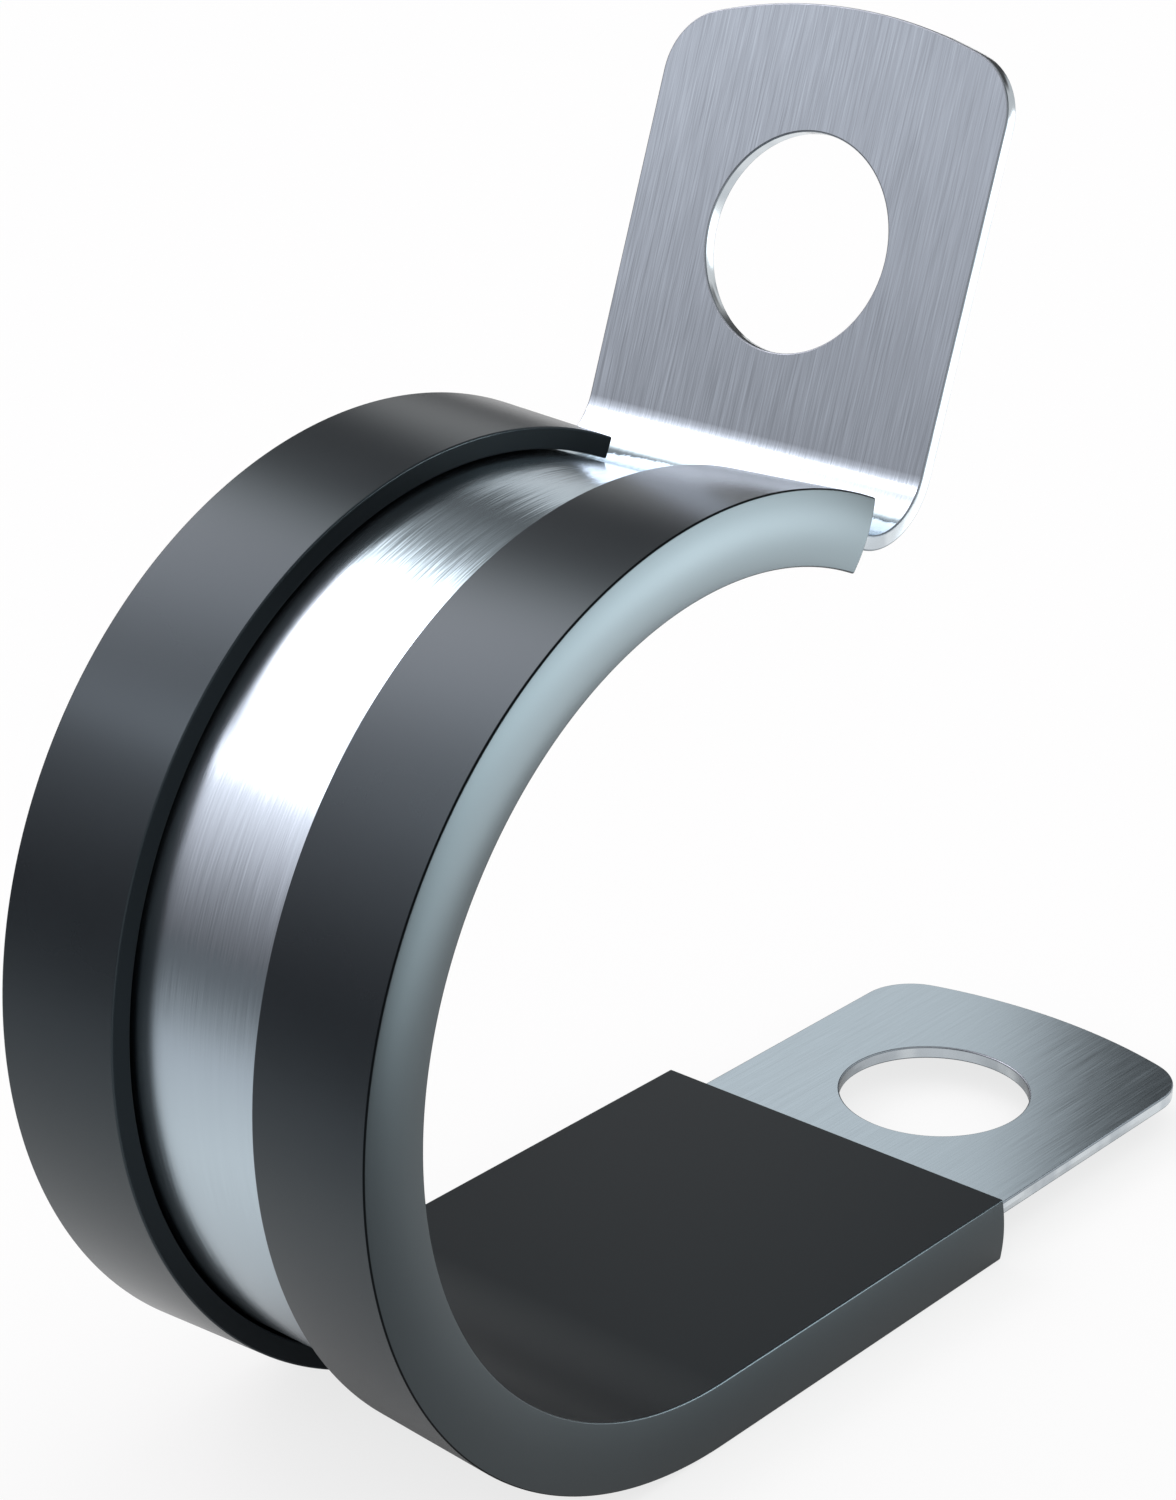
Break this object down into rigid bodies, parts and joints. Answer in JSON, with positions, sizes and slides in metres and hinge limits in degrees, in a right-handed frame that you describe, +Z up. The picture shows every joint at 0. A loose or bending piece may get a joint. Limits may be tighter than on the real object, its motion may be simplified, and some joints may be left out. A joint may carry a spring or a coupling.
{
  "type": "rubber-lined p clip",
  "caption": "Open P-shaped clip: a bent steel strip with a bolt hole in each end and a rubber channel round its loop, for holding a pipe, hose or cable.",
  "frame": {"origin": "on the axis of the loop, halfway across the strip", "axes": "+X along the lower leg from the loop towards its bolt hole, +Y along the axis of the loop, +Z up from the lower leg to the upper tab"},
  "size_m": [0.0425, 0.0142, 0.04],
  "materials": {
    "stainless_steel": "brushed along the strip",
    "black_rubber": "satin"
  },
  "bodies": {
    "root": {"steel_band": "stainless_steel", "rubber_liner": "black_rubber"}
  },
  "joints": []
}
